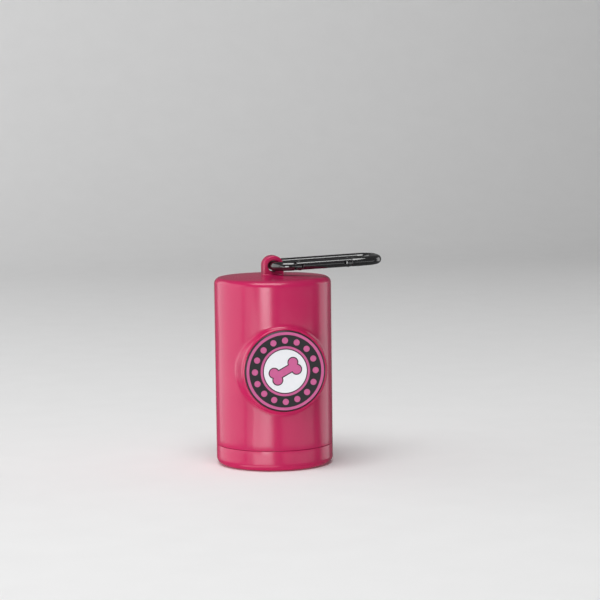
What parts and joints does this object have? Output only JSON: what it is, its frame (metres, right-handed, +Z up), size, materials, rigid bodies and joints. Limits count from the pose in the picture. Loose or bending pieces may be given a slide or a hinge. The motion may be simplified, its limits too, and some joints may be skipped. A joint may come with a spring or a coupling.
{
  "type": "dog waste bag dispenser",
  "caption": "Round silicone dispenser for a roll of dog waste bags, with a pull-off bottom cap, a round badge, a moulded top loop and a snap hook.",
  "frame": {"origin": "centre of the cap's underside, on the axis of the can", "axes": "+Z up along the can, -Y towards the badge, +X towards the free end of the snap hook at rest"},
  "size_m": [0.0808, 0.0578, 0.1002],
  "materials": {
    "silicone": "satin",
    "badge_black": "satin",
    "badge_pink": "satin",
    "badge_white": "satin",
    "black_metal": "gloss black",
    "steel": "bright",
    "card": "matt",
    "film": "satin"
  },
  "bodies": {
    "shell": {"body_shell": "silicone", "badge_base": "badge_black", "badge_outer_ring": "badge_pink", "badge_inner_ring": "badge_pink", "badge_dots": "badge_pink", "badge_centre": "badge_white", "badge_bone": "badge_pink"},
    "cap": {"bottom_cap": "silicone"},
    "roll": {"roll_core": "card", "bag_roll": "film"},
    "carabiner": {"carabiner_frame": "black_metal"},
    "gate": {"carabiner_gate": "black_metal", "gate_hinge_pin": "black_metal", "gate_latch_pin": "black_metal", "gate_spring": "steel", "spring_plunger": "steel"}
  },
  "joints": [
    {"name": "cap_pull", "type": "slide", "parent": "shell", "child": "cap", "axis": [0, 0, -1], "range_m": [0, 0.08]},
    {"name": "roll_spin", "type": "hinge", "parent": "cap", "child": "roll", "pos_m": [0, 0, 0.0032], "axis": [0, 0, 1], "continuous": true},
    {"name": "carabiner_swing", "type": "hinge", "parent": "shell", "child": "carabiner", "pos_m": [0, 0, 0.0953], "axis": [0, 1, 0], "range_deg": [-183.2, 7.8]},
    {"name": "gate_open", "type": "hinge", "parent": "carabiner", "child": "gate", "pos_m": [0.01124, -0.01045, 0.09575], "axis": [-0.0401, 0, 0.9992], "range_deg": [0, 30], "stiffness_Nm_per_rad": 0.02, "springref_deg": -34.38}
  ]
}
